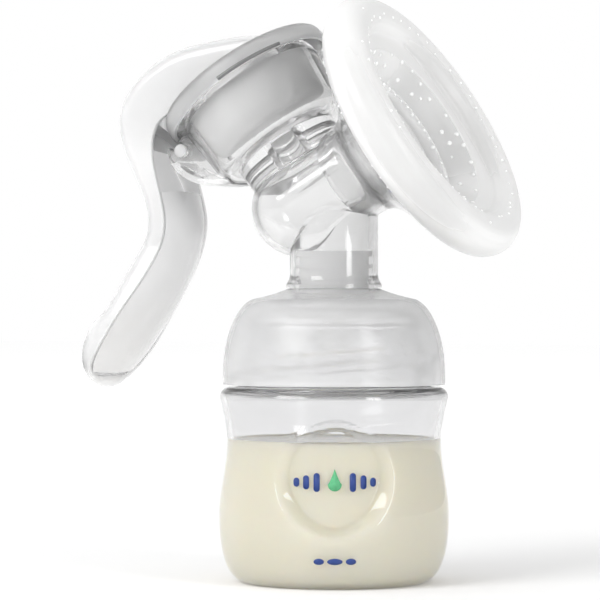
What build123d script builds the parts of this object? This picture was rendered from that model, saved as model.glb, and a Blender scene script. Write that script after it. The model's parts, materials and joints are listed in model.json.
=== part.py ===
from build123d import *
import math
import os

os.makedirs("parts", exist_ok=True)

# Millimetres. Z is the bottle's axis, z = 0 is the floor it stands on, and the funnel leans towards +X.
# Everything but the bottle's thumb recess and the threads is the same on both sides of the XZ plane.

# Bottle
wall = 1.7
base_r = 26.0
bulge_r, bulge_z = 33.9, 19.5
waist_r, waist_z = 31.5, 41.5
shoulder_r, shoulder_z = 33.7, 54.6
shoulder_top = 57.4
bottle_neck_r, bottle_neck_top = 27.0, 75.0
milk_level = 42.4
liquid_gap = 0.05

# Round recess in the bottle's side, turned towards the front right
recess_turn = 24.4
recess_r, recess_z = 13.9, 31.8
recess_depth, recess_bevel = 1.3, 3.1

# Two-start right-hand thread between the bottle and the screw collar
lead = 14.0
thread_z = 62.0
bottle_thread_turn = 200.0
collar_thread_turn = 150.0
collar_thread_offset = 3.0
collar_thread_lag = 40.0
ridge_root, ridge_crest = 3.0, 1.5
bottle_ridge_crest_r = 29.0
collar_bore_r = 30.1
collar_ridge_crest_r = 27.6

# Screw collar
collar_bottom, collar_top = 58.2, 86.4
collar_bottom_r, collar_hole_r = 32.8, 13.5
collar_wall = 2.2

# Pump body: neck, horn and funnel
neck_r, neck_bore_r = 13.0, 11.5
neck_foot_r, neck_foot_z = 14.1, 87.6
flange_r, flange_gap = 26.4, 0.35
horn_tilt = 30.6
horn_r, horn_wall = 14.4, 1.8
rim_x, rim_z = 29.7, 134.3
horn_dome_s = -47.2
flare_s = -25.0
hard_rim_r, hard_rim_s = 38.2, -5.4
funnel_wall = 1.6

# Pump body: bowl
bowl_lean = 35.5
bowl_x, bowl_z = -29.5, 148.65
bowl_r, bowl_depth, bowl_wall = 22.2, 25.0, 1.8
bowl_rim_r, bowl_rim_t = 25.8, 3.4
bead_r, bead_top, bead_bottom = 27.3, 1.2, -4.3
boss_r, boss_depth = 16.2, 34.0
air_hole_r = 4.0

# Hinge between the body's hooks and the handle's pin, in the bowl's own frame
hinge_a, hinge_k = -25.7, -7.6
pin_r, hook_bore_r, hook_r = 2.0, 2.06, 4.5
hook_in, hook_out = 6.2, 9.0
hook_mouth = 110.0
hub_r, hub_half = 2.7, 5.6

# Stem: a crossbar on top, ribs, and a foot that sits in the diaphragm's boss
bar_r, bar_half, bar_k = 1.9, 8.0, 6.2
neck_half_a, neck_half_y = 1.5, 2.8
foot_r, foot_low, foot_high = 9.0, -17.2, -15.2

# Diaphragm
cup_r, cup_wall, cup_floor = 20.2, 1.1, -18.6
bead_wall = 1.4

# Handle: a hollow shell with a crowned cover over the inside of its grip
handle_half, paddle_half = 15.0, 19.2
paddle_z, handle_waist_z, handle_low_z = 72.0, 105.0, 56.3
handle_wall = 1.7
handle_edge_r = 4.0
arm_end_x, arm_end_z = -18.9, 158.8
fork_low, fork_high, fork_slot = 2.5, 4.05, 3.2
fork_left, fork_root, fork_end = -14.0, -3.0, 7.6
tip_wall_z, arm_floor_k = 60.2, 2.1
cover_crown = 5.0

# Valve
valve_r, valve_top, valve_wall = 10.3, 97.4, 1.3
valve_tip_z = 66.0

# Cushion
tunnel_bore_r, tunnel_end_s = 10.4, -31.0


def unit(degrees):
    """The unit vector in the XZ plane that leans this far from +X towards +Z."""
    return Vector(math.cos(math.radians(degrees)), 0, math.sin(math.radians(degrees)))


horn_plane = Plane(origin=(rim_x, 0, rim_z), x_dir=(0, 1, 0), z_dir=unit(horn_tilt))
bowl_plane = Plane(origin=(bowl_x, 0, bowl_z), x_dir=unit(bowl_lean), z_dir=unit(bowl_lean + 90))
side_plane = Plane(origin=(0, 0, 0), x_dir=(1, 0, 0), z_dir=(0, -1, 0))
bowl_side = Plane(origin=(bowl_x, 0, bowl_z), x_dir=unit(bowl_lean), z_dir=(0, -1, 0))


def spin(*edges):
    """Turn a closed outline in (radius, height) once round Z."""
    outline = edges[0]
    for edge in edges[1:]:
        outline += edge
    return revolve(side_plane * make_face(outline), Axis.Z)


def ring(r_in, r_out, z_low, z_high):
    low_z = Pos(0, 0, (z_low + z_high) / 2)
    solid = low_z * Cylinder(r_out, z_high - z_low)
    if r_in > 0:
        solid -= low_z * Cylinder(r_in, z_high - z_low + 1)
    return solid


def slab(outline, half_width, plane=side_plane):
    """A flat outline in the side plane, made into a plate that is centred on the XZ plane."""
    return extrude(plane * make_face(outline), half_width, both=True)


def bottle_form(inset, top):
    """The bottle's turned shape, with its wall moved in by inset and its neck cut off at top."""
    low = Line((0, inset), (base_r - inset / 2, inset))
    corner = Spline(low @ 1, (bulge_r - inset, bulge_z), tangents=[(1, 0.15), (0, 1)])
    belly = Spline(corner @ 1, (waist_r - inset, waist_z), tangents=[(0, 1), (0, 1)])
    flare = Spline(belly @ 1, (shoulder_r - inset, shoulder_z), tangents=[(0, 1), (0.2, 1)])
    flat_z = shoulder_top - inset
    turn = Spline(flare @ 1, (shoulder_r - inset - 2.6, flat_z), tangents=[(0, 1), (-1, 0)])
    neck_r_in = bottle_neck_r - inset
    rest = Polyline(turn @ 1, (neck_r_in, flat_z), (neck_r_in, top), (0, top), (0, inset))
    return spin(low, corner, belly, flare, turn, rest)


def recess_tool(inset):
    """What the round recess takes out of a bottle shape whose wall is moved in by inset.

    Its floor follows the bottle's roundness. Its bevel is part of a cone that is flatter sideways than
    upwards, because the bottle's side falls away sideways.
    """
    surface_r = waist_r + 0.7 - inset
    floor_r = waist_r - recess_depth - inset
    inner_r = recess_r + inset / 2
    outer_r = inner_r + recess_bevel
    side_d = math.sqrt(floor_r ** 2 - inner_r ** 2)
    side_slope = recess_bevel / (math.sqrt(surface_r ** 2 - outer_r ** 2) - side_d)
    up_slope = recess_bevel / (surface_r + 0.4 - floor_r)
    facing = Plane(origin=(0, 0, recess_z), z_dir=unit_front(), x_dir=(0, 0, 1))
    slices = []
    for d in (side_d - 1.0, side_d + 9.0):
        high = inner_r + (d - floor_r) * up_slope
        wide = inner_r + (d - side_d) * side_slope
        slices.append(facing * Pos(0, 0, d) * Ellipse(high, wide))
    return loft(slices, ruled=True) - Cylinder(floor_r, 200)


def unit_front():
    """The horizontal direction that the recess faces."""
    return Vector(math.sin(math.radians(recess_turn)), -math.cos(math.radians(recess_turn)), 0)


def thread_ridge(r_root, r_crest, start_z, start_angle, turn):
    """One start of a helical ridge: a trapezium swept round Z, with its base sunk into the wall."""
    path = Helix(pitch=lead, height=lead * turn / 360, radius=r_root)
    crest = r_crest - r_root
    profile = Polyline(
        (0, -ridge_root / 2),
        (crest, -ridge_crest / 2),
        (crest, ridge_crest / 2),
        (0, ridge_root / 2),
        close=True,
    )
    section = Plane(origin=path @ 0, x_dir=(1, 0, 0), z_dir=path % 0) * make_face(profile)
    ridge = sweep(section, path=path, is_frenet=True)
    return Pos(0, 0, start_z) * Rot(0, 0, start_angle) * ridge


def bottle():
    shell = bottle_form(0, bottle_neck_top) - recess_tool(0)
    hollow = bottle_form(wall, bottle_neck_top + 5) - recess_tool(wall)
    shell -= hollow
    root_r = bottle_neck_r - 0.4
    for start in (0, 180):
        shell += thread_ridge(root_r, bottle_ridge_crest_r, thread_z, start, bottle_thread_turn)
    return shell


def milk():
    inset = wall + liquid_gap
    body = bottle_form(inset, bottle_neck_top) - recess_tool(inset)
    above = Pos(0, 0, milk_level + 50) * Cylinder(60, 100)
    return body - above


def collar_outline(inset):
    """The collar's outer curve from its bottom edge to its centre hole, moved in by inset."""
    side = Spline(
        (collar_bottom_r - inset, collar_bottom),
        (32.3 - inset, 67.5),
        (28.4 - 0.75 * inset, 79.2 - 0.65 * inset),
        (23.9 - 0.35 * inset, 83.3 - inset),
        tangents=[(0, 1), (-1, 0.42)],
    )
    roof = Spline(side @ 1, (collar_hole_r, collar_top - inset), tangents=[(-1, 0.2), (-1, 0.45)])
    return side, roof


def screw_collar():
    side, roof = collar_outline(0)
    edge = Polyline(roof @ 1, (0, collar_top), (0, collar_bottom), side @ 0)
    solid = spin(side, roof, edge)
    side_in, roof_in = collar_outline(collar_wall)
    inside = spin(
        side_in,
        roof_in,
        Polyline(roof_in @ 1, (0, collar_top - collar_wall), (0, collar_bottom), side_in @ 0),
    )
    solid -= inside & ring(0, collar_bore_r, 0, 100)
    solid -= Pos(0, 0, collar_bottom) * Cylinder(collar_bore_r, 8)
    solid -= Pos(0, 0, collar_top) * Cylinder(collar_hole_r, 20)
    start_z = thread_z - collar_thread_offset + lead * collar_thread_lag / 360
    root_r = collar_bore_r + 0.4
    for start in (collar_thread_lag, collar_thread_lag + 180):
        solid += thread_ridge(root_r, collar_ridge_crest_r, start_z, start, collar_thread_turn)
    return solid


def horn_core():
    """The outside of the horn: the closed round end, the tube and the hard funnel behind the cushion."""
    tube_line = Polyline((0, horn_dome_s - horn_r), (0, hard_rim_s), (hard_rim_r, hard_rim_s))
    edge = Line(tube_line @ 1, (hard_rim_r, hard_rim_s - funnel_wall))
    flare = Spline(
        edge @ 1,
        (26.5, -13.6),
        (17.2, -19.6),
        (horn_r, flare_s - 1.5),
        tangents=[(-1, -0.5), (0, -1)],
    )
    side = Line(flare @ 1, (horn_r, horn_dome_s))
    dome = CenterArc((0, horn_dome_s), horn_r, 0, -90)
    return horn_plane * spin(tube_line, edge, flare, side, dome)


def horn_hollow():
    """The space inside the horn: a straight bore that opens into the flare."""
    bore_r = horn_r - horn_wall
    mouth = Polyline((0, 0), (hard_rim_r, 0), (hard_rim_r, hard_rim_s + 0.01))
    flare = Spline(
        mouth @ 1,
        (26.5 - 0.5, -12.1),
        (15.6, -19.4),
        (bore_r, flare_s),
        tangents=[(-1, -0.5), (0, -1)],
    )
    side = Line(flare @ 1, (bore_r, horn_dome_s))
    dome = CenterArc((0, horn_dome_s), bore_r, 0, -90)
    back = Line(dome @ 1, (0, 0))
    return horn_plane * spin(mouth, flare, side, dome, back)


def neck_outside():
    low = Line((0, 80), (neck_r, 80))
    side = Line(low @ 1, (neck_r, collar_top + 0.3))
    foot = Polyline(side @ 1, (neck_foot_r, collar_top + 0.3), (neck_foot_r, neck_foot_z))
    cove = Spline(foot @ 1, (neck_r, neck_foot_z + 3), tangents=[(-0.6, 1), (0, 1)])
    top = Polyline(cove @ 1, (neck_r, 117), (0, 117), (0, 80))
    return spin(low, side, foot, cove, top)


def seal_flange():
    """The disc under the collar's roof that closes the bottle's mouth, with its plug ring."""
    high = collar_top - collar_wall - flange_gap
    low = bottle_neck_top + flange_gap
    under = Spline(
        (neck_bore_r, high - 3.1),
        (22.0, low + 2.85),
        (flange_r - 0.8, low),
        tangents=[(1, -0.3), (1, -0.9)],
    )
    over = Spline(
        (neck_bore_r, high),
        (18.0, high - 2.05),
        (23.0, high - 3.75),
        (flange_r, low + 1.4),
        tangents=[(1, -0.35), (0.6, -1)],
    )
    edge = Polyline(under @ 1, (flange_r, low), over @ 1)
    inside = Line(over @ 0, under @ 0)
    plug_r = bottle_neck_r - wall - 0.4
    return spin(under, edge, over, inside) + ring(plug_r - 1.3, plug_r, low - 4.35, low + 1.65)


def bowl_outside():
    r, t = bowl_r, bowl_depth
    rim = Polyline((0, 0), (bowl_rim_r, 0), (bowl_rim_r, -bowl_rim_t), (r + 0.8, -bowl_rim_t - 1.6))
    side = Line(rim @ 1, (r - 0.6, -18.0))
    corner = Spline(side @ 1, (boss_r + 0.8, -t), tangents=[(-0.05, -1), (-1, -0.2)])
    boss = Polyline(corner @ 1, (boss_r, -t - 0.2), (boss_r - 1.0, -boss_depth), (0, -boss_depth), (0, 0))
    return bowl_plane * spin(rim, side, corner, boss)


def bowl_hollow():
    r = bowl_r - bowl_wall
    mouth = Polyline((0, 5), (r + 0.4, 5), (r + 0.4, 0))
    side = Line(mouth @ 1, (r - 0.6, -17.5))
    corner = Spline(side @ 1, (r - 6.0, -bowl_depth + bowl_wall + 0.4), tangents=[(0, -1), (-1, 0)])
    floor_line = Polyline(corner @ 1, (0, -bowl_depth + bowl_wall + 0.4), (0, 5))
    hollow = spin(mouth, side, corner, floor_line)
    air = ring(0, air_hole_r, -boss_depth - 12, -bowl_depth + 3)
    return bowl_plane * (hollow + air)


def bracket():
    """Two hooks joined by a curved apron that runs under the hinge to the bowl's wall."""
    pin_place = Pos(hinge_a, hinge_k)
    arm = Polyline(
        (-20.5, -5.6),
        (hinge_a + 0.5, hinge_k + hook_r - 0.3),
        (hinge_a - hook_r + 0.6, hinge_k - 1.0),
        (-24.6, -17.6),
        (-18.6, -21.0),
        close=True,
    )
    plate = make_face(arm) + pin_place * Circle(hook_r)
    plate -= pin_place * Circle(hook_bore_r)
    plate -= pin_place * Rot(0, 0, hook_mouth) * Pos(6, 0) * Rectangle(12, 1.72 * hook_bore_r)
    cheeks = extrude(bowl_side * plate, hook_out, both=True)
    cheeks -= bowl_side * Box(200, 200, 2 * hook_in)
    outer = ThreePointArc((-30.8, -9.0), (-27.4, -18.2), (-18.0, -24.6))
    inner = ThreePointArc((-17.0, -23.2), (-25.9, -17.2), (-29.1, -8.8))
    outline = outer + Line(outer @ 1, inner @ 0) + inner + Line(inner @ 1, outer @ 0)
    return cheeks + slab(outline, hook_out, bowl_side)


def pump_body():
    solid = horn_core() + neck_outside() + bowl_outside() + seal_flange()
    solid -= horn_hollow()
    solid -= bowl_hollow()
    solid -= ring(0, neck_bore_r, 60, 98.0)
    solid -= ring(0, neck_bore_r - 1.3, 90, 113.0)
    bowl_room = ring(0, bowl_r - bowl_wall - 0.3, -bowl_depth, 10)
    bead_room = ring(0, bead_r + 0.4, bead_bottom - 0.3, 10)
    solid += bracket() - bowl_plane * (bowl_room + bead_room)
    return solid


def cushion():
    """The soft funnel: a tunnel, a flare with one raised ridge, and a fat lip folded over the hard rim."""
    tunnel_r = horn_r - horn_wall - 0.15
    bore = Line((tunnel_bore_r, tunnel_end_s), (tunnel_bore_r, -24.5))
    throat = Spline(bore @ 1, (13.4, -17.2), (19.6, -11.2), tangents=[(0, 1), (1, 0.55)])
    ridge = Spline(throat @ 1, (20.3, -9.3), (22.2, -8.3), tangents=[(-0.2, 1), (1, -0.25)])
    wall_in = Spline(ridge @ 1, (24.2, -4.6), (26.4, -1.2), tangents=[(0.35, 1), (0.6, 1)])
    step = Spline(wall_in @ 1, (28.4, -0.5), (30.6, 0.9), tangents=[(1, 0.1), (1, 1)])
    lip = Spline(
        step @ 1,
        (33.0, 4.1),
        (37.0, 5.4),
        (41.6, 3.0),
        (43.2, -1.4),
        (41.9, -5.4),
        (39.6, -7.7),
        (37.6, -8.5),
        tangents=[(0.5, 1), (-1, -0.1)],
    )
    fold = Polyline(lip @ 1, (37.4, -7.6), (38.3, -7.05), (38.3, -5.25))
    back = Spline(
        fold @ 1,
        (25.85, -11.85),
        (15.4, -19.2),
        (tunnel_r, flare_s),
        tangents=[(-1, -0.5), (0, -1)],
    )
    tunnel = Polyline(back @ 1, (tunnel_r, tunnel_end_s), bore @ 0)
    return horn_plane * spin(bore, throat, ridge, wall_in, step, lip, fold, back, tunnel)


def valve():
    """A duckbill: a cup with two seal ribs on top, flattened to a slit at its lower end."""
    cup = ring(0, valve_r, 86.0, valve_top)
    cup += ring(valve_r - 0.5, neck_bore_r - 0.03, 95.8, valve_top)
    cup += ring(valve_r - 0.5, neck_bore_r - 0.03, 92.3, 93.5)
    cup -= Pos(0, 0, 91) * Cylinder(valve_r - valve_wall, 20)
    bill = bill_form(valve_r, 7.5, 1.5, 86.0, valve_tip_z)
    bill -= bill_form(valve_r - valve_wall, 6.2, 0.25, 86.01, valve_tip_z - 0.01)
    return cup + bill


def bill_form(round_r, slit_half, slit_thick, top, low):
    """A solid that changes from a circle at the top to a thin slot at the bottom."""
    circle = Plane(origin=(0, 0, top)) * Circle(round_r)
    slot = Plane(origin=(0, 0, low)) * RectangleRounded(2 * slit_thick, 2 * slit_half, slit_thick * 0.9)
    return loft([circle, slot])


def diaphragm():
    """The soft cup that lines the bowl, with a bead over the bowl's rim and a boss for the stem's foot."""
    r_in = bead_r - bead_wall
    bead = Polyline(
        (cup_r, 0.05),
        (r_in + 0.05, 0.05),
        (r_in + 0.05, bead_bottom),
        (bead_r - 0.5, bead_bottom),
        (bead_r, bead_bottom + 0.8),
    )
    crown = Spline(bead @ 1, (bead_r - 1.2, bead_top), tangents=[(0, 1), (-1, 0)])
    top = Polyline(crown @ 1, (cup_r - cup_wall + 0.6, bead_top))
    mouth = Spline(top @ 1, (cup_r - cup_wall - 0.2, -0.6), tangents=[(-1, 0), (0, -1)])
    inside = Line(mouth @ 1, (cup_r - cup_wall - 0.9, -13.5))
    dish = Spline(inside @ 1, (14.5, cup_floor + cup_wall), tangents=[(0, -1), (-1, 0)])
    floor_in = Polyline(
        dish @ 1,
        (foot_r + 1.6, cup_floor + cup_wall),
        (foot_r + 1.4, foot_high + 1.0),
        (foot_r - 1.2, foot_high + 1.0),
        (foot_r - 1.2, foot_high + 0.05),
        (foot_r + 0.05, foot_high + 0.05),
        (foot_r + 0.05, foot_low - 0.05),
        (0, foot_low - 0.05),
        (0, cup_floor - 0.6),
        (foot_r + 1.6, cup_floor - 0.6),
        (foot_r + 2.4, cup_floor),
        (14.5, cup_floor),
    )
    dish_out = Spline(floor_in @ 1, (cup_r - 0.9, -13.5), tangents=[(1, 0), (0, 1)])
    outside = Line(dish_out @ 1, bead @ 0)
    return bowl_plane * spin(bead, crown, top, mouth, inside, dish, floor_in, dish_out, outside)


def stem():
    """The hard stem: a round foot, crossed ribs that taper upwards, a flat neck and a crossbar."""
    solid = ring(0, foot_r, foot_low, foot_high)
    solid += ring(0, 3.0, foot_high, -1.0)
    rib = Polyline(
        (-7.4, foot_high),
        (7.4, foot_high),
        (2.6, -3.0),
        (2.6, 1.0),
        (-2.6, 1.0),
        (-2.6, -3.0),
        close=True,
    )
    rib = slab(rib, 0.8)
    solid += rib + Rot(0, 0, 90) * rib
    solid += Pos(0, 0, (bar_k - 1.0) / 2) * Box(2 * neck_half_a, 2 * neck_half_y, bar_k + 1.0)
    bar = Pos(0, 0, bar_k) * Rot(90, 0, 0) * Cylinder(bar_r, 2 * bar_half)
    solid += fillet(bar.edges(), 0.5)
    return bowl_plane * solid


def moved_in(curve, inset, count=14):
    """A curve that runs at a fixed distance to the left of another one."""
    points = []
    for step in range(count + 1):
        along = curve % (step / count)
        points.append((curve @ (step / count)) + Vector(-along.Y, along.X) * inset)
    return Spline(*points, tangents=[curve % 0, curve % 1])


def handle_back(inset=0.0):
    """The handle's outer curve moved in by inset, from beyond the arm's end to below the grip's tip."""
    head = Spline(
        (-12.0, 160.2),
        (-23.0, 160.9),
        (-34.0, 159.7),
        (-44.0, 157.8),
        (-56.6, 151.2),
        (-65.0, 138.8),
        (-60.9, 122.4),
        (-55.5, 105.0),
        (-61.6, 91.4),
        (-67.9, 80.2),
        (-77.8, 62.6),
        tangents=[(-1, 0.1), (-0.3, -1)],
    )
    if inset:
        head = moved_in(head, inset)
    return head + Line(head @ 1, (head @ 1) + Vector(-3.0, -10.0))


def handle_front():
    """The open side of the shell: the edge that faces the bottle, from the tip up to the bowl's rim."""
    return Spline(
        (-74.2, 60.2),
        (-70.5, 66.6),
        (-62.8, 78.4),
        (-54.0, 91.6),
        (-49.0, 105.5),
        (-51.2, 117.5),
        (-53.0, 128.0),
        (-50.2, 136.6),
        tangents=[(0.4, 1), (0.8, 0.9)],
    )


def handle_half_width(z):
    """Half the handle's width at this height: even at the head, wider at the grip, round at the tip."""
    if z >= handle_waist_z:
        return handle_half
    if z >= paddle_z:
        share = (handle_waist_z - z) / (handle_waist_z - paddle_z)
        return handle_half + (paddle_half - handle_half) * (1 - math.cos(math.pi * share)) / 2
    share = (paddle_z - z) / (paddle_z - handle_low_z)
    return paddle_half * (1 - min(share, 1.0) ** 2.4) ** 0.5


def handle_plan(inset):
    """The handle's outline seen from the bottle, as a prism along X."""
    heights = [105.0, 97.0, 88.0, 80.0, 72.0, 67.0, 63.0, 60.0, 58.2]
    side = [(handle_half_width(z) - inset, z + (inset if z < 63 else 0)) for z in heights]
    low = (0, handle_low_z + inset)
    right = Spline(*side, low, tangents=[(0, -1), (-1, 0)])
    left_side = [(-y, z) for y, z in side]
    left = Spline(low, *reversed(left_side), tangents=[(-1, 0), (0, 1)])
    top = Polyline(
        left @ 1,
        (-handle_half + inset, 175),
        (handle_half - inset, 175),
        right @ 0,
    )
    plane = Plane(origin=(-100, 0, 0), x_dir=(0, 1, 0), z_dir=(1, 0, 0))
    return extrude(plane * make_face(right + left + top), 120)


def handle_open_side():
    """The line that bounds the handle towards the bottle, from below the tip to the end of the arm."""
    front = handle_front()
    tip = Line((front @ 0) + Vector(-3.2, -8.0), front @ 0)
    return tip + front + Line(front @ 1, (arm_end_x, arm_end_z))


def before_back(inset):
    """All that is in front of the handle's outer curve moved in by inset, as one thick slab."""
    back = handle_back(inset)
    far = Polyline(back @ 1, ((back @ 0).X, (back @ 1).Y), back @ 0)
    return slab(back + far, 40)


def handle_block():
    """The handle's outside, solid and too thick towards the bottle, with rounded back edges."""
    solid = before_back(0) & handle_plan(0)
    curve = side_plane * handle_back()
    round_edges = []
    for edge in solid.edges():
        middle = edge @ 0.5
        if abs(middle.Y) > 1 and curve.distance_to(Vertex(middle.X, 0, middle.Z)) < 0.05:
            round_edges.append(edge)
    return fillet(round_edges, handle_edge_r)


def handle_hollow():
    """The space inside the shell, open towards the bottle and under the arm as far as the fork's end."""
    long, high = 80.0, 120.0
    room = Pos(arm_end_x - handle_wall - long / 2, 0, tip_wall_z + high / 2) * Box(long, 80, high)
    floor_high = arm_floor_k + handle_wall
    arm_floor = bowl_plane * Pos(fork_end + 0.6 + 10, 0, floor_high / 2) * Box(20, 80, floor_high)
    return (before_back(handle_wall) & room & handle_plan(handle_wall)) - arm_floor


def fork():
    """Two prongs under the arm that lift the stem by its crossbar."""
    middle = (fork_low + fork_high) / 2
    plate = Pos((fork_left + fork_end) / 2, 0, middle) * Box(
        fork_end - fork_left, 2 * handle_half - 1, fork_high - fork_low
    )
    slot = Pos(fork_root + 10, 0, middle) * Box(20, 2 * fork_slot, 10)
    return bowl_plane * (plate - slot)


def pin():
    """The hinge pin, its hub, and the web that joins them to the back of the shell."""
    web = Polyline(
        (hinge_a - 2.3, hinge_k - 0.8),
        (-39.0, 4.7),
        (-34.2, 12.5),
        (-bead_r - 1.7, -2.5),
        (-bead_r - 0.8, hinge_k + hub_r),
        (hinge_a, hinge_k + hub_r - 0.1),
        close=True,
    )
    rods = Cylinder(hub_r, 2 * hub_half) + Cylinder(pin_r, 2 * hook_out + 1)
    return slab(web, hub_half, bowl_side) + bowl_plane * Pos(hinge_a, 0, hinge_k) * Rot(90, 0, 0) * rods


def handle_shell():
    side = handle_open_side()
    far = Polyline(side @ 1, (arm_end_x, 180), (-100, 180), (-100, (side @ 0).Y), side @ 0)
    solid = handle_block() & slab(side + far, 40)
    solid -= handle_hollow()
    return solid + fork() + pin()


def handle_cover():
    """The crowned inner cover of the grip, built up from arched sections along the shell's open edge."""
    front = handle_front()
    sections = []
    count = 11
    first, last = 0.015, 0.735
    for step in range(count):
        share = step / (count - 1)
        at = last + (first - last) * share
        point = front @ at
        along = front % at
        half = handle_half_width(point.Y) - handle_wall - 0.2
        crown = cover_crown * math.sin(math.pi * (0.14 + 0.76 * share)) * half / handle_half
        origin = Vector(point.X, 0, point.Y)
        plane = Plane(origin=origin, x_dir=(0, 1, 0), z_dir=Vector(-along.X, 0, -along.Y))
        arch = ThreePointArc((-half, 0.0), (0, crown), (half, 0.0))
        base = Polyline((half, 0.0), (half, -1.6), (-half, -1.6), (-half, 0.0))
        sections.append(plane * make_face(arch + base))
    return loft(sections)


PIECES = {
    "bottle": bottle,
    "milk": milk,
    "screw_collar": screw_collar,
    "pump_body": pump_body,
    "valve": valve,
    "cushion": cushion,
    "diaphragm": diaphragm,
    "stem": stem,
    "handle_shell": handle_shell,
    "handle_cover": handle_cover,
}

for name, make in PIECES.items():
    piece = make()
    print(name, len(piece.solids()), round(piece.volume), piece.is_valid)
    export_step(piece, "parts/" + name + ".step")
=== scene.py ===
import json
import math

import bpy
import numpy as np
from mathutils import Matrix, Vector

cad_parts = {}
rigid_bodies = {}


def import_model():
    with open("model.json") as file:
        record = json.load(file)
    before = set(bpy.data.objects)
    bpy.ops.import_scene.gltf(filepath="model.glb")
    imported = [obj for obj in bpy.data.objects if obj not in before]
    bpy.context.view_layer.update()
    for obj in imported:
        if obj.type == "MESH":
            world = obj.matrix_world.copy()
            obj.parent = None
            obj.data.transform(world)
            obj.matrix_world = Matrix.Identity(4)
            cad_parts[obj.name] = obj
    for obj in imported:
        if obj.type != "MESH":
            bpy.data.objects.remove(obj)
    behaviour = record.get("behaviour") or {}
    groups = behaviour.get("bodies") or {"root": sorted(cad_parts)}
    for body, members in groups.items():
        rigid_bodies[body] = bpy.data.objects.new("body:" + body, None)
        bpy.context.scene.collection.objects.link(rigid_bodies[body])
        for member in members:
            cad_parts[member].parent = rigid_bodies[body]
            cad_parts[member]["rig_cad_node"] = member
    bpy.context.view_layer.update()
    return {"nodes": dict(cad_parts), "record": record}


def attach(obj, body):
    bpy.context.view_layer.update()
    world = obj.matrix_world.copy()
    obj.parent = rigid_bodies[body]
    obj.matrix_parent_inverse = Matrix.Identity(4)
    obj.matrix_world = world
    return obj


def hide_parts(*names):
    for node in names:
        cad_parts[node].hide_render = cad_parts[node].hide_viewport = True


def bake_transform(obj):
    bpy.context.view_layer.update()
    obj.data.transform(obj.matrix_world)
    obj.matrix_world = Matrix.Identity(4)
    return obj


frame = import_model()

# Shapes are in millimetres and go into meshes in metres.
MM = 0.001
nodes = frame["nodes"]


# ---------------------------------------------------------------- outlines

def curve(points, start, end, count):
    """A smooth curve through the points, with given directions at its ends and count steps in each span."""
    p = np.array(points, float)
    span = np.linalg.norm(np.diff(p, axis=0), axis=1)
    last = len(p) - 1
    system = np.zeros((last + 1, last + 1))
    right = np.zeros((last + 1, 2))
    for i in range(1, last):
        before, after = span[i - 1], span[i]
        system[i, i - 1:i + 2] = after, 2 * (before + after), before
        right[i] = 3 * (after * (p[i] - p[i - 1]) / before + before * (p[i + 1] - p[i]) / after)
    for row, direction in ((0, start), (last, end)):
        system[row, row] = 1
        right[row] = np.array(direction) / np.hypot(*direction)
    slope = np.linalg.solve(system, right)
    made = []
    for i in range(last):
        for t in np.arange(count) / count:
            square, cube = t * t, t * t * t
            made.append(
                (2 * cube - 3 * square + 1) * p[i]
                + (cube - 2 * square + t) * span[i] * slope[i]
                + (3 * square - 2 * cube) * p[i + 1]
                + (cube - square) * span[i] * slope[i + 1]
            )
    made.append(p[last])
    return [tuple(q) for q in made]


# ---------------------------------------------------------------- meshes

def leaning(x, z, degrees):
    """A place at (x, 0, z) whose Z axis leans this far from +X towards +Z, and whose Y axis is level."""
    c, s = math.cos(math.radians(degrees)), math.sin(math.radians(degrees))
    turn = Matrix(((s, 0, c), (0, 1, 0), (-c, 0, s))).to_4x4()
    return Matrix.Translation((x, 0, z)) @ turn


def piece(name, points, faces, place=Matrix(), sharp=40):
    """A mesh object from points in millimetres at a place. Edges turned by more than sharp stay crisp."""
    mesh = bpy.data.meshes.new(name)
    mesh.from_pydata([tuple((place @ Vector(p)) * MM) for p in points], [], faces)
    mesh.validate()
    mesh.shade_smooth()
    mesh.set_sharp_from_angle(angle=math.radians(sharp))
    made = bpy.data.objects.new(name, mesh)
    bpy.context.scene.collection.objects.link(made)
    return made


def lathe(name, outline, place=Matrix(), steps=192, shapes=None):
    """A closed outline of (radius, height) turned once round Z.

    shapes(index) may give, for a point of the outline, a function of (r, angle, z) that changes its radius.
    """
    points, rings = [], []
    angles = [2 * math.pi * i / steps for i in range(steps)]
    for index, (r, z) in enumerate(outline):
        if r < 1e-6:
            rings.append([len(points)] * steps)
            points.append((0, 0, z))
            continue
        rings.append(list(range(len(points), len(points) + steps)))
        shape = shapes(index) if shapes else None
        for angle in angles:
            here = shape(r, angle, z) if shape else r
            points.append((here * math.cos(angle), here * math.sin(angle), z))
    faces = []
    for low, high in zip(rings, rings[1:] + rings[:1]):
        for i in range(steps):
            j = (i + 1) % steps
            corners = list(dict.fromkeys((low[i], low[j], high[j], high[i])))
            if len(corners) > 2:
                faces.append(corners)
    return piece(name, points, faces, place)


# ---------------------------------------------------------------- materials

# Most of a noise texture's values lie in this range.
noise_range = 0.3, 0.7


def material(name, **values):
    """A material of one Principled shader with these values on its sockets."""
    made = bpy.data.materials.new(name)
    made.use_nodes = True
    shader = made.node_tree.nodes["Principled BSDF"]
    for socket, value in values.items():
        shader.inputs[socket.replace("_", " ")].default_value = value
    return made


def feed(made, source, socket):
    """Drives a socket of the material's shader from another node."""
    tree = made.node_tree
    tree.links.new(source, tree.nodes["Principled BSDF"].inputs[socket])


def ramp(tree, source, before, after, smooth=False):
    """A number that covers the range after as its source covers the range before, held at both ends."""
    made = tree.nodes.new("ShaderNodeMapRange")
    if smooth:
        made.interpolation_type = "SMOOTHSTEP"
    for socket, value in zip(("From Min", "From Max", "To Min", "To Max"), (*before, *after)):
        made.inputs[socket].default_value = value
    tree.links.new(source, made.inputs["Value"])
    return made.outputs["Result"]


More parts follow.
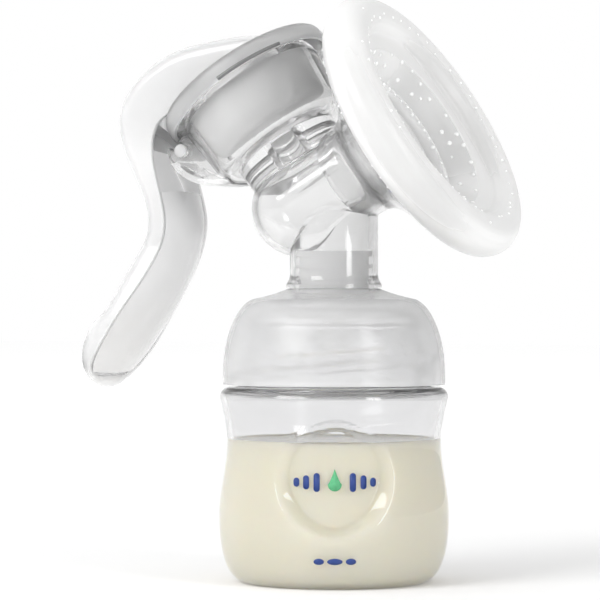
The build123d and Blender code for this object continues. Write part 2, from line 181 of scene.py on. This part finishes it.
def noise(made, scale):
    """A noise texture in the object's own coordinates, with scale in features for each metre."""
    tree = made.node_tree
    place = tree.nodes.new("ShaderNodeTexCoord")
    texture = tree.nodes.new("ShaderNodeTexNoise")
    texture.inputs["Scale"].default_value = scale
    texture.inputs["Detail"].default_value = 3.0
    tree.links.new(place.outputs["Object"], texture.inputs["Vector"])
    return texture.outputs["Fac"]


def drift(made, scale, low, high):
    """A number that drifts between low and high over the surface."""
    return ramp(made.node_tree, noise(made, scale), noise_range, (low, high))


def uneven(made, scale, low, high):
    """Roughness that varies over the surface, as handling and moulding leave it."""
    feed(made, drift(made, scale, low, high), "Roughness")


def relief(made, scale, depth):
    """Low waves in the surface, with scale in features for each metre and depth in metres."""
    tree = made.node_tree
    bump = tree.nodes.new("ShaderNodeBump")
    bump.inputs["Strength"].default_value = 1.0
    bump.inputs["Distance"].default_value = depth
    tree.links.new(noise(made, scale), bump.inputs["Height"])
    feed(made, bump.outputs["Normal"], "Normal")


def blend(made, share, one, other):
    """A base colour that goes from one to the other as the share goes from 0 to 1."""
    tree = made.node_tree
    mix = tree.nodes.new("ShaderNodeMix")
    mix.data_type = "RGBA"
    mix.inputs["A"].default_value = (*one, 1)
    mix.inputs["B"].default_value = (*other, 1)
    tree.links.new(share, mix.inputs["Factor"])
    feed(made, mix.outputs["Result"], "Base Color")


def tint(made, scale, one, other):
    """A base colour that drifts between two near ones."""
    blend(made, drift(made, scale, 0, 1), one, other)


def along(made, place, low, high):
    """A share from 0 to 1 between two heights along the Z axis of a place."""
    tree = made.node_tree
    where = tree.nodes.new("ShaderNodeTexCoord")
    dot = tree.nodes.new("ShaderNodeVectorMath")
    dot.operation = "DOT_PRODUCT"
    axis = place.to_3x3() @ Vector((0, 0, 1))
    dot.inputs[1].default_value = axis
    tree.links.new(where.outputs["Object"], dot.inputs[0])
    level = axis.dot(place.translation)
    return ramp(tree, dot.outputs["Value"], ((level + low) * MM, (level + high) * MM), (0, 1))


def between(made, share, low, high):
    """A number that goes from low to high as the share goes from 0 to 1."""
    return ramp(made.node_tree, share, (0, 1), (low, high))


def clear_plastic():
    """The clear, glossy plastic of the pump body and the stem."""
    made = material("clear_plastic", Transmission_Weight=0.9, IOR=1.49)
    tint(made, 30, (0.98, 0.98, 0.98), (0.995, 0.995, 0.995))
    uneven(made, 60, 0.015, 0.05)
    relief(made, 45, 0.00003)
    return made


def bottle_plastic():
    """The clear plastic, greyer above the milk: painted shade that darkens the clear band there."""
    made = material("bottle_plastic", Transmission_Weight=0.95, IOR=1.49)
    # Painted shade: the colour turns greyer from just below the milk line upwards.
    blend(made, along(made, Matrix(), 40.5, 43.5), (0.995, 0.995, 0.995), (0.91, 0.91, 0.915))
    uneven(made, 60, 0.015, 0.05)
    relief(made, 45, 0.00003)
    return made


def frosted_plastic():
    """The collar's clear plastic with a dull surface."""
    made = material("frosted_plastic", Transmission_Weight=0.7, IOR=1.3)
    tint(made, 60, (0.98, 0.98, 0.985), (0.995, 0.995, 0.995))
    uneven(made, 60, 0.235, 0.265)
    relief(made, 70, 0.00002)
    return made


def white_plastic():
    """The handle's glossy white plastic. Its walls are thin, and some light comes through them."""
    made = material(
        "white_plastic", Subsurface_Weight=1.0, Subsurface_Radius=(1, 1, 1), Subsurface_Scale=0.0075,
        Coat_Weight=0.1, Coat_Roughness=0.06,
    )
    tint(made, 40, (0.80, 0.80, 0.805), (0.83, 0.83, 0.83))
    uneven(made, 60, 0.16, 0.24)
    relief(made, 60, 0.00001)
    return made


def grip_plastic():
    """The light grey, glossy plastic of the grip's cover."""
    made = material("grip_plastic", Coat_Weight=0.5, Coat_Roughness=0.08)
    tint(made, 50, (0.79, 0.79, 0.795), (0.82, 0.82, 0.82))
    uneven(made, 60, 0.12, 0.18)
    relief(made, 80, 0.00001)
    return made


def cushion_silicone():
    """Milky silicone that is clear and smooth in the tunnel and dull on the flare and the lip."""
    made = material(
        "cushion_silicone", Subsurface_Weight=0.3, Subsurface_Radius=(1, 1, 1), Subsurface_Scale=0.004,
        IOR=1.41,
    )
    relief(made, 90, 0.00002)
    flare = along(made, horn, -24, -12)
    feed(made, between(made, flare, 0.97, 0.3), "Transmission Weight")
    feed(made, between(made, flare, 0.05, 0.33), "Roughness")
    blend(made, along(made, horn, -13, 1), (0.77, 0.77, 0.77), (0.79, 0.79, 0.785))
    return made


def clear_silicone():
    """Misted silicone, clearer on the bead than inside the bowl."""
    made = material("clear_silicone", IOR=1.41)
    tint(made, 60, (0.965, 0.965, 0.965), (0.985, 0.985, 0.985))
    uneven(made, 60, 0.29, 0.36)
    relief(made, 60, 0.00004)
    feed(made, between(made, along(made, bowl, -7, -4), 0.15, 0.85), "Transmission Weight")
    return made


def white_silicone():
    """The valve's soft, dull white silicone."""
    made = material(
        "white_silicone", Subsurface_Weight=0.4, Subsurface_Radius=(1, 1, 1), Subsurface_Scale=0.003)
    tint(made, 80, (0.96, 0.96, 0.96), (0.98, 0.98, 0.98))
    uneven(made, 300, 0.35, 0.45)
    relief(made, 3000, 0.000005)
    return made


def milk_liquid():
    """Milk: cream-coloured, with light scattered further in red than in blue."""
    made = material(
        "milk", Subsurface_Weight=0.5, Subsurface_Radius=(1.0, 0.85, 0.6), Subsurface_Scale=0.004, IOR=1.34)
    tint(made, 35, (0.995, 0.925, 0.755), (0.998, 0.94, 0.79))
    uneven(made, 100, 0.12, 0.2)
    relief(made, 50, 0.00001)
    return made


def dot_silicone():
    """The raised dots, which shine more than the silicone that they stand on: a glossy coat, and a
    near-white colour that is painted sparkle.
    """
    made = material("dot_silicone", Coat_Weight=1.0, Coat_Roughness=0.1, Roughness=0.3)
    # Painted sparkle: near-white, far lighter than the silicone round the dots.
    tint(made, 300, (0.99, 0.99, 0.99), (1.0, 1.0, 1.0))
    return made


def ink(name, colour):
    """Printing ink: flat and a little glossy, with a thin and thick coat here and there."""
    made = material(name)
    tint(made, 900, colour, tuple(min(1, c * 1.25 + 0.004) for c in colour))
    uneven(made, 1500, 0.35, 0.5)
    return made


# The places of the horn's mouth and the bowl's rim, the same as in the CAD.
horn = leaning(29.7, 134.3, 30.6)
bowl = leaning(-29.5, 148.65, 125.5)

materials = {
    "clear_plastic": clear_plastic(),
    "frosted_plastic": frosted_plastic(),
    "white_plastic": white_plastic(),
    "grip_plastic": grip_plastic(),
    "cushion_silicone": cushion_silicone(),
    "clear_silicone": clear_silicone(),
    "white_silicone": white_silicone(),
    "milk": milk_liquid(),
}


def paint(thing, slot, own=None):
    """Gives a piece the material of a record's slot, or its own one in that slot."""
    thing.data.materials.clear()
    thing.data.materials.append(own or materials[slot])


for row in frame["record"]["subparts"]:
    paint(nodes[row["node"]], row["material_slot"])


# ---------------------------------------------------------------- bottle and milk

wall = 1.7
base_r, base_lift = 26.0, 0.5
bulge_r, bulge_z = 33.9, 19.5
waist_r, waist_z = 31.5, 41.5
shoulder_r, shoulder_z, shoulder_top, shoulder_turn = 33.7, 54.6, 57.4, 2.6
neck_r, neck_foot, neck_top = 27.0, 59.0, 75.0
lip_bevel = 0.4
# The thread's ridge: its radius, the height of its start, its rise for each turn and its length in degrees.
thread_r, thread_z, thread_lead, thread_turn = 29.0, 62.0, 14.0, 200
thread_starts = 0, math.pi
# Half the ridge's width at its crest and at its foot, and the degrees over which it fades in and out.
crest_half, foot_half, run_out = 1.0, 2.0, 12
# The recess faces the front, where the photograph shows it.
front = math.radians(24.4 - 90)
recess_r, recess_z = 13.9, 31.8
recess_floor_r, recess_bevel, bevel_softness = 30.2, 3.1, 0.25
milk_level, milk_overlap = 42.4, 0.12
# How the milk's surface climbs at the wall: distances from the wall and below the highest line.
meniscus = (0, 0), (0.5, 0.35), (1.6, 0.6), (6, 0.65)
ink_lift, ink_thick = 0.03, 0.05


def bottle_side(inset):
    """The bottle's outline from its base to the foot of its neck, with the wall moved in by inset."""
    made = curve([(base_r - inset / 2, inset), (bulge_r - inset, bulge_z)], (1, 0.15), (0, 1), 30)
    made += curve([(bulge_r - inset, bulge_z), (waist_r - inset, waist_z)], (0, 1), (0, 1), 40)[1:]
    made += curve([(waist_r - inset, waist_z), (shoulder_r - inset, shoulder_z)], (0, 1), (0.2, 1), 20)[1:]
    turn = [(shoulder_r - inset, shoulder_z), (shoulder_r - inset - shoulder_turn, shoulder_top - inset)]
    return made + curve(turn, (0, 1), (-1, 0), 8)[1:]


def recessed(inset):
    """How the round recess moves the bottle's wall in: a floor, then a bevel that is soft at both edges."""
    def shape(r, angle, z):
        away = math.hypot(r * math.sin(angle - front), z - recess_z)
        if away > recess_r + recess_bevel or math.cos(angle - front) < 0:
            return r
        straight = max(0, (away - recess_r) / recess_bevel)
        soft = straight * straight * (3 - 2 * straight)
        share = bevel_softness * soft + (1 - bevel_softness) * straight
        floor_r = recess_floor_r - inset
        return min(r, floor_r + (r - floor_r) * share)
    return shape


def threaded(r, angle, z):
    """How the two-start thread moves the neck's outer wall out."""
    if r < neck_r - lip_bevel / 2:
        return r
    height = 0
    for start in thread_starts:
        turned = math.degrees(angle - start) % 360
        if turned > thread_turn:
            continue
        off = abs(z - thread_z - thread_lead * turned / 360)
        ends = min(1, turned / run_out, (thread_turn - turned) / run_out)
        across = min(1, max(0, (foot_half - off) / (foot_half - crest_half)))
        height = max(height, ends * across)
    return r + (thread_r - neck_r) * height


def bottle():
    """The bottle, from the middle of its base out, up to its mouth and back down its inside."""
    foot = [(0, base_lift), (18, base_lift), (20.5, 0), (24, 0)]
    step = curve([(shoulder_r - shoulder_turn, shoulder_top), (neck_r, neck_foot)], (-1, 0), (0, 1), 8)[1:]
    outer = foot + bottle_side(0) + step
    # The neck's rings are close enough together to carry the thread.
    ring_gap, rings = 0.35, 43
    neck = [(neck_r, neck_foot + ring_gap * i) for i in range(1, rings + 1)]
    bore_r, lip_z = neck_r - wall, neck_top - lip_bevel
    lip = [(neck_r, lip_z), (neck_r - lip_bevel, neck_top), (bore_r + lip_bevel, neck_top)]
    inner = [(bore_r, lip_z), (bore_r, shoulder_top)] + bottle_side(wall)[::-1] + [(0, wall)]
    outer_dip, inner_dip = recessed(0), recessed(wall)
    neck_start = len(outer)
    inner_start = neck_start + len(neck) + len(lip)

    def shapes(index):
        if index < neck_start:
            return outer_dip
        return threaded if index < inner_start else inner_dip

    made = lathe("bottle_shell", outer + neck + lip + inner, steps=384, shapes=shapes)
    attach(made, "bottle")
    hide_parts("bottle")
    paint(made, "clear_plastic", bottle_plastic())


def milk():
    """The milk reaches a little into the wall, so that no film of air shows between the two."""
    inset = wall - milk_overlap
    side = [q for q in bottle_side(inset) if q[1] < milk_level]
    edge_r = side[-1][0]
    top = [(edge_r - inward, milk_level - down) for inward, down in meniscus]
    outline = [(0, inset)] + side + top + [(0, top[-1][1])]
    dip = recessed(inset)
    made = lathe("milk_fill", outline, steps=384, shapes=lambda index: dip)
    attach(made, "bottle")
    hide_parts("milk")
    paint(made, "milk")


def bottle_radius(z):
    """The bottle's outer radius at this height, recess left out."""
    side = np.array(bottle_side(0))
    return float(np.interp(z, side[:, 1], side[:, 0]))


def recess_floor(z):
    """The radius of the recess's floor, which is the same at every height."""
    return recess_floor_r


def printed(name, marks, radius, colour):
    """Thin printed marks round the bottle.

    A mark is its middle (across, up), its half width and a function that gives its reach above and below.
    """
    points, faces = [], []
    count = 24
    for across, level, half, reach in marks:
        first = len(points)
        for k in range(count + 1):
            off = half * math.sin(math.pi * (k / count - 0.5))
            above, below = reach(off / half)
            for z in (level - below, level + above):
                r = radius(z) + ink_lift
                angle = front + (across + off) / r
                points.append((r * math.cos(angle), r * math.sin(angle), z))
        for k in range(count):
            a = first + 2 * k
            faces.append((a, a + 2, a + 3, a + 1))
    made = piece(name, points, faces)
    thick = made.modifiers.new("thick", "SOLIDIFY")
    thick.thickness = ink_thick * MM
    thick.offset = 1
    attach(made, "bottle")
    made.data.materials.append(colour)


def pill(half_high, end=0.9):
    """The reach of a bar with round ends, for printed(). The share t runs from -1 to 1 across the bar."""
    def reach(t):
        edge = half_high - end + end * math.sqrt(max(0, 1 - t * t))
        return edge, edge
    return reach


def drop(low, tall, tip=0.02):
    """The reach of a drop, round below and drawn to a point above. Its sides are tip high at their ends."""
    def reach(t):
        return tall * (1 - abs(t)) ** 1.4 + tip, low * math.sqrt(max(0, 1 - t * t)) + tip
    return reach


def prints():
    """A made-up row of bars with a drop in the recess, and a row of three flat marks below it."""
    navy = ink("ink_navy", (0.012, 0.04, 0.20))
    leaf = ink("ink_leaf", (0.10, 0.42, 0.20))
    bars = [(side * across, recess_z - 0.8, 0.9, pill(tall)) for side in (-1, 1)
            for across, tall in ((5.2, 2.7), (8.3, 2.0), (11.2, 1.3))]
    printed("print_bars", bars, recess_floor, navy)
    printed("print_drop", [(0, recess_z - 1.3, 2.0, drop(2.0, 4.4))], recess_floor, leaf)
    line = [(across, 8.6, half, pill(0.9)) for across, half in ((-4.6, 1.5), (0, 2.2), (4.6, 1.5))]
    printed("print_line", line, bottle_radius, navy)


bottle()
milk()
prints()


# ---------------------------------------------------------------- cushion

# The tunnel's inner radius, and the outer one, which is a little less than the horn's bore.
tunnel_r = 10.4
plug_r = 12.45
tunnel_end, tunnel_bevel = -31, 0.4
# Faint rings on the lip: their height, and their rate in radians for each millimetre out from the axis.
ring_high, ring_rate = 0.05, 5.0


def cushion_side():
    """The cushion's inner side: the tunnel's mouth, the flare with one ridge, its wall and the step."""
    made = curve([(tunnel_r, -24.5), (13.4, -17.2), (19.6, -11.2)], (0, 1), (1, 0.55), 16)
    made += curve([(19.6, -11.2), (20.3, -9.3), (22.2, -8.3)], (-0.2, 1), (1, -0.25), 8)[1:]
    made += curve([(22.2, -8.3), (24.2, -4.6), (26.4, -1.2)], (0.35, 1), (0.6, 1), 10)[1:]
    made += curve([(26.4, -1.2), (28.4, -0.5), (30.6, 0.9)], (1, 0.1), (1, 1), 8)[1:]
    return made


def cushion_lip():
    """From the step over the fat lip to where it folds under the hard rim."""
    over = [(30.6, 0.9), (33.0, 4.1), (37.0, 5.4), (41.6, 3.0), (43.2, -1.4)]
    under = [(41.9, -5.4), (39.6, -7.7), (37.6, -8.5)]
    made = curve(over + under, (0.5, 1), (-1, -0.1), 10)
    return [(r + ring_high * math.sin(ring_rate * r), z) if z > 0 else (r, z) for r, z in made]


def cushion():
    """The soft funnel. Its raised dots are a piece of their own."""
    fold = [(37.4, -7.6), (38.3, -7.05)]
    back = curve([(38.3, -5.25), (25.85, -11.85), (15.4, -19.2), (plug_r, -25)], (-1, -0.5), (0, -1), 16)
    tunnel = [
        (plug_r, tunnel_end + tunnel_bevel),
        (plug_r - tunnel_bevel, tunnel_end),
        (tunnel_r + tunnel_bevel, tunnel_end),
        (tunnel_r, tunnel_end + tunnel_bevel),
    ]
    outline = cushion_side() + cushion_lip()[1:] + fold + back + tunnel
    made = lathe("cushion_funnel", outline, horn, 256)
    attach(made, "pump_body")
    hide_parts("cushion")
    paint(made, "cushion_silicone")


def dome(points, faces, centre, normal, size, high=0.3, sunk=0.15):
    """Adds a low round dome of radius size to a mesh's lists. Its edge is sunk into what it stands on."""
    side = normal.orthogonal().normalized()
    other = normal.cross(side)
    around, levels = 10, 3
    top = len(points)
    points.append(tuple(centre + normal * high))
    for level in range(1, levels + 1):
        lean = math.pi / 2 * level / levels
        rise = -sunk if level == levels else high * math.cos(lean)
        for k in range(around):
            turn = 2 * math.pi * k / around
            off = (side * math.cos(turn) + other * math.sin(turn)) * size * math.sin(lean)
            points.append(tuple(centre + off + normal * rise))
    for k in range(around):
        j = (k + 1) % around
        faces.append((top, top + 1 + k, top + 1 + j))
        for level in range(levels - 1):
            a = top + 1 + level * around
            faces.append((a + k, a + around + k, a + around + j, a + j))


def cushion_dots():
    """Raised dots: a close row on the flare's ridge, two looser ones on its wall and two fine on the lip.

    The looser a row is, the more of its dots are missing or out of line.
    """
    side = np.array(cushion_side() + cushion_lip())
    in_tunnel = side[:, 1] < -12
    rng = np.random.default_rng(7)
    points, faces = [], []
    # In a row of looseness 1: how often a dot is missing, and how far it strays in radius and in steps.
    missing, stray_r, stray_step = 0.16, 0.6, 0.3
    # Each row's radius, number of places, size of dot and looseness.
    rows = [
        (21.1, 46, 0.6, 0.10),
        (23.8, 30, 0.76, 0.9),
        (25.8, 28, 0.7, 0.8),
        (34.4, 44, 0.42, 1.0),
        (38.6, 48, 0.42, 1.2),
    ]
    for row_r, count, size, loose in rows:
        for k in range(count):
            if rng.random() < missing * loose:
                continue
            r = row_r + rng.uniform(-stray_r, stray_r) * loose
            turn = 2 * math.pi * (k + rng.uniform(-stray_step, stray_step) * loose) / count
            c, s = math.cos(turn), math.sin(turn)
            at = int(np.argmin(np.where(in_tunnel, np.inf, np.abs(side[:, 0] - r))))
            slope = side[at + 1] - side[at - 1]
            normal = Vector((-slope[1] * c, -slope[1] * s, slope[0])).normalized()
            centre = Vector((side[at, 0] * c, side[at, 0] * s, side[at, 1]))
            dome(points, faces, centre, normal, size * rng.uniform(0.7, 1.15))
    made = piece("cushion_dots", points, faces, horn, 80)
    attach(made, "pump_body")
    paint(made, "cushion_silicone", dot_silicone())


cushion()
cushion_dots()


# ---------------------------------------------------------------- diaphragm

def diaphragm():
    """The soft cup in the bowl, with its bead over the rim."""
    bead = [(20.2, 0.05), (25.95, 0.05), (25.95, -4.3), (26.8, -4.3), (27.3, -3.5)]
    crown = curve([(27.3, -3.5), (27.0, 0.3), (26.1, 1.2)], (0, 1), (-1, 0), 8)[1:]
    mouth = curve([(19.7, 1.2), (18.9, -0.6)], (-1, 0), (0, -1), 6)
    wall_in = curve([(18.9, -0.6), (18.2, -13.5)], (0, -1), (0, -1), 12)[1:]
    dish = curve([(18.2, -13.5), (14.5, -17.5)], (0, -1), (-1, 0), 10)[1:]
    boss = [(10.6, -17.5), (10.4, -14.2), (7.8, -14.2)]
    stem_seat = [(7.8, -15.15), (9.05, -15.15), (9.05, -17.25), (0, -17.25)]
    under = [(0, -19.2), (10.6, -19.2), (11.4, -18.6)]
    dish_out = curve([(14.5, -18.6), (19.3, -13.5)], (1, 0), (0, 1), 10)
    wall_out = curve([(19.3, -13.5), (20.2, 0.05)], (0, 1), (0, 1), 12)[1:-1]
    inside = crown + mouth + wall_in + dish + boss + stem_seat
    made = lathe("diaphragm_cup", bead + inside + under + dish_out + wall_out, bowl)
    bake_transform(made)
    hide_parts("diaphragm")
    paint(made, "clear_silicone")


def slot_shade():
    """The shade inside the slot, through misted silicone."""
    made = material("slot_shade", Transmission_Weight=0.3, Roughness=0.4)
    tint(made, 60, (0.20, 0.20, 0.205), (0.24, 0.24, 0.24))
    return made


def rim_slot_shadow():
    """A dark strip painted as the shade in a slot along the front of the bowl's rim.

    It is a thin strip on the bead's lower side, narrower towards its high end.
    """
    points, faces = [], []
    steps, first, last = 40, math.radians(-84), math.radians(-38)
    foot_z, wide, narrowing = -4.25, 1.1, 0.3
    # The bead's lower side goes out from bead_r at bead_z, and the strip stands just clear of it.
    bead_r, bead_z, bead_slope, bead_reach, clear = 26.8, -4.3, 0.62, 0.5, 0.08
    for k in range(steps + 1):
        angle = first + (last - first) * k / steps
        for share in (0, 0.4, 1):
            z = foot_z + share * (wide - narrowing * k / steps)
            r = bead_r + min(bead_reach, bead_slope * (z - bead_z)) + clear
            points.append((r * math.cos(angle), r * math.sin(angle), z))
    for k in range(steps):
        for level in (0, 1):
            a = 3 * k + level
            faces.append((a, a + 3, a + 4, a + 1))
    made = piece("rim_slot_shadow", points, faces, bowl)
    thick = made.modifiers.new("thick", "SOLIDIFY")
    thick.thickness = clear * MM
    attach(made, "pump_body")
    # Painted shadow: a dark grey strip that stands for the shade in the slot, not a part of the rim.
    paint(made, "clear_silicone", slot_shade())


diaphragm()
rim_slot_shadow()


# ---------------------------------------------------------------- floor, light and camera

# The photograph's viewpoint is turned this far from a straight side view.
view_turn = math.radians(24.6)
# The way from the camera to the object, and the way across the picture from left to right.
view_ahead = Vector((-math.sin(view_turn), math.cos(view_turn), 0))
view_right = Vector((math.cos(view_turn), math.sin(view_turn), 0))
view_up = Vector((0, 0, 1))


def floor():
    """A pale floor that glows a little away from the object, so that it fades into the white backdrop."""
    half = 4000
    # The distances in metres between which the glow grows, and its strength at the two.
    distances, strengths = (0.05, 1.5), (0.05, 0.27)
    points = [(-half, -half, 0), (half, -half, 0), (half, half, 0), (-half, half, 0)]
    made = piece("floor", points, [(0, 1, 2, 3)])
    white = material(
        "floor", Base_Color=(0.9, 0.9, 0.9, 1), Roughness=0.9, Specular_IOR_Level=0.0,
        Emission_Color=(1, 1, 1, 1),
    )
    tree = white.node_tree
    place = tree.nodes.new("ShaderNodeTexCoord")
    away = tree.nodes.new("ShaderNodeVectorMath")
    away.operation = "LENGTH"
    tree.links.new(place.outputs["Object"], away.inputs[0])
    feed(white, ramp(tree, away.outputs["Value"], distances, strengths), "Emission Strength")
    made.data.materials.append(white)


def lamp(name, place, size, power):
    """A soft rectangular lamp that is turned towards the middle of the object."""
    aim = Vector((0, 0, 0.08))
    data = bpy.data.lights.new(name, "AREA")
    data.shape = "RECTANGLE"
    data.size, data.size_y = size
    data.energy = power
    made = bpy.data.objects.new(name, data)
    made.location = place
    made.rotation_euler = (aim - Vector(place)).to_track_quat("-Z", "Y").to_euler()
    bpy.context.scene.collection.objects.link(made)


def camera():
    """The photograph's viewpoint: nearly level, and a little to the right of the funnel's side."""
    distance, left, height = 0.9, 0.01003, 0.0846
    downward = math.tan(math.radians(0.1))
    data = bpy.data.cameras.new("camera")
    data.lens, data.sensor_width = 183.0, 36.0
    made = bpy.data.objects.new("camera", data)
    made.location = -view_ahead * distance - view_right * left + view_up * height
    made.rotation_euler = (view_ahead - view_up * downward).to_track_quat("-Z", "Y").to_euler()
    bpy.context.scene.collection.objects.link(made)
    bpy.context.scene.camera = made


def towards(tree, direction, before, after):
    """A smooth number that runs over the range after by how far a ray of light goes in a direction."""
    place = tree.nodes.new("ShaderNodeTexCoord")
    dot = tree.nodes.new("ShaderNodeVectorMath")
    dot.operation = "DOT_PRODUCT"
    dot.inputs[1].default_value = direction.normalized()
    tree.links.new(place.outputs["Generated"], dot.inputs[0])
    return ramp(tree, dot.outputs["Value"], before, after, smooth=True)


def world():
    """A white cove behind the object and round its sides, brighter on the left, and a greyer room in front.

    The backdrop itself is plain white.
    """
    made = bpy.data.worlds.new("studio")
    made.use_nodes = True
    tree = made.node_tree
    cove = towards(tree, view_ahead + view_up * 0.15, (-0.55, 0.35), (0.66, 0.92))
    left = towards(tree, view_up * 0.2 - view_right, (-1, 1), (0.74, 1.12))
    both = tree.nodes.new("ShaderNodeMath")
    both.operation = "MULTIPLY"
    tree.links.new(cove, both.inputs[0])
    tree.links.new(left, both.inputs[1])
    # The camera sees the plain backdrop, and the object is lit by the room.
    path = tree.nodes.new("ShaderNodeLightPath")
    pick = tree.nodes.new("ShaderNodeMix")
    tree.links.new(path.outputs["Is Camera Ray"], pick.inputs["Factor"])
    tree.links.new(both.outputs["Value"], pick.inputs["A"])
    pick.inputs["B"].default_value = 1.0
    tree.links.new(pick.outputs["Result"], tree.nodes["Background"].inputs["Strength"])
    tree.nodes["Background"].inputs["Color"].default_value = (1, 1, 1, 1)
    bpy.context.scene.world = made


floor()
world()
lamp("key", (-0.7, -1.5, 1.05), size=(1.0, 1.0), power=20)
lamp("fill", (1.5, -0.7, 0.5), size=(0.4, 1.2), power=10)
camera()
bpy.context.scene.view_settings.view_transform = "Standard"
